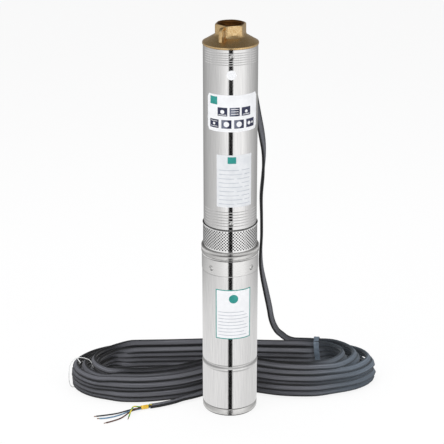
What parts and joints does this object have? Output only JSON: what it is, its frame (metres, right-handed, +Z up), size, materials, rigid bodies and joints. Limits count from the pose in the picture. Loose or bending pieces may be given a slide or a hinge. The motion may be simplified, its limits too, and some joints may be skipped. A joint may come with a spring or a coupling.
{
  "type": "borehole submersible pump",
  "caption": "Tall slim submersible well pump with motor, perforated intake, stainless barrel, brass discharge head with rope eyes, and a coiled flat power cable.",
  "frame": {"origin": "centre of the flat underside of the motor's bottom cap, on the pump's axis", "axes": "+Z up along the pump's shaft axis to the discharge, -Y towards the front with the labels, +X to the right seen from the front"},
  "size_m": [0.5625, 0.2443, 0.6952],
  "materials": {
    "stainless": "drawn stainless tube, fine satin polish",
    "stainless_screws": "bright stainless fasteners",
    "cast_steel": "sand cast, machined on its seats",
    "ground_steel": "ground bright",
    "cast_brass": "cast brass, turned on its rim and collar",
    "laminations": "stacked sheet steel, varnished",
    "copper_winding": "enamelled copper wire, varnished",
    "impeller_plastic": "moulded, matt",
    "bowl_plastic": "moulded, matt",
    "seal_ceramic": "lapped ceramic",
    "seal_carbon": "lapped carbon",
    "black_rubber": "moulded nitrile rubber",
    "cable_jacket": "extruded jacket, slightly chalky",
    "white_tie": "plastic covered wire",
    "blue_grey_tie": "soft plastic band",
    "yellow_band": "wound insulating tape",
    "black_insulation": "extruded insulation",
    "blue_insulation": "extruded insulation",
    "brown_insulation": "extruded insulation",
    "earth_insulation": "extruded two colour insulation"
  },
  "bodies": {
    "pump": {"bottom_cap": "stainless", "pressure_diaphragm": "black_rubber", "lower_bearing_bracket": "cast_steel", "lower_bearing_outer_ring": "ground_steel", "lower_winding": "copper_winding", "stator_core": "laminations", "upper_winding": "copper_winding", "upper_bearing_outer_ring": "ground_steel", "seal_seat": "seal_ceramic", "motor_shell": "stainless", "motor_top_bracket": "stainless", "bracket_screw_1": "stainless_screws", "bracket_screw_2": "stainless_screws", "bracket_screw_3": "stainless_screws", "bracket_screw_4": "stainless_screws", "intake_bracket": "cast_steel", "strainer": "stainless", "pump_barrel": "stainless", "intake_lock_screw": "stainless_screws", "head_lock_screw": "stainless_screws", "diffuser_1": "bowl_plastic", "diffuser_2": "bowl_plastic", "diffuser_3": "bowl_plastic", "diffuser_4": "bowl_plastic", "diffuser_5": "bowl_plastic", "top_bearing_spider": "bowl_plastic", "top_bearing_bush": "black_rubber", "discharge_head": "cast_brass", "check_valve_spring": "ground_steel", "check_valve_guide": "cast_brass", "cable_gland": "cast_brass", "cable_lead": "cable_jacket", "cable_guard": "stainless", "power_cable": "cable_jacket", "cable_coil": "cable_jacket", "coil_wire_tie": "white_tie", "coil_band_tie": "blue_grey_tie", "cable_tail": "cable_jacket", "cable_end_band": "yellow_band", "conductor_black": "black_insulation", "conductor_blue": "blue_insulation", "conductor_brown": "brown_insulation", "conductor_earth": "earth_insulation"},
    "rotor": {"motor_shaft": "ground_steel", "rotor_core": "laminations", "lower_bearing_inner_ring": "ground_steel", "upper_bearing_inner_ring": "ground_steel", "seal_ring": "seal_carbon", "sand_slinger": "black_rubber", "shaft_coupling": "ground_steel", "pump_shaft": "ground_steel", "impeller_1": "impeller_plastic", "impeller_2": "impeller_plastic", "impeller_3": "impeller_plastic", "impeller_4": "impeller_plastic", "impeller_5": "impeller_plastic", "shaft_nut": "ground_steel"},
    "lower_ball_cage": {"lower_bearing_balls": "ground_steel"},
    "upper_ball_cage": {"upper_bearing_balls": "ground_steel"},
    "check_valve": {"check_valve_poppet": "black_rubber"}
  },
  "joints": [
    {"name": "rotor_spin", "type": "hinge", "parent": "pump", "child": "rotor", "pos_m": [0, 0, 0.3], "axis": [0, 0, 1], "continuous": true},
    {"name": "lower_cage_spin", "type": "hinge", "parent": "pump", "child": "lower_ball_cage", "pos_m": [0, 0, 0.0356], "axis": [0, 0, 1], "continuous": true},
    {"name": "upper_cage_spin", "type": "hinge", "parent": "pump", "child": "upper_ball_cage", "pos_m": [0, 0, 0.261], "axis": [0, 0, 1], "continuous": true},
    {"name": "check_valve_lift", "type": "slide", "parent": "pump", "child": "check_valve", "axis": [0, 0, 1], "range_m": [0, 0.006], "stiffness_N_per_m": 120, "springref_m": -0.004, "deforming": ["check_valve_spring"]}
  ],
  "couplings": [
    {"joint": "lower_cage_spin", "follows": "rotor_spin", "ratio": 0.4},
    {"joint": "upper_cage_spin", "follows": "rotor_spin", "ratio": 0.4}
  ]
}
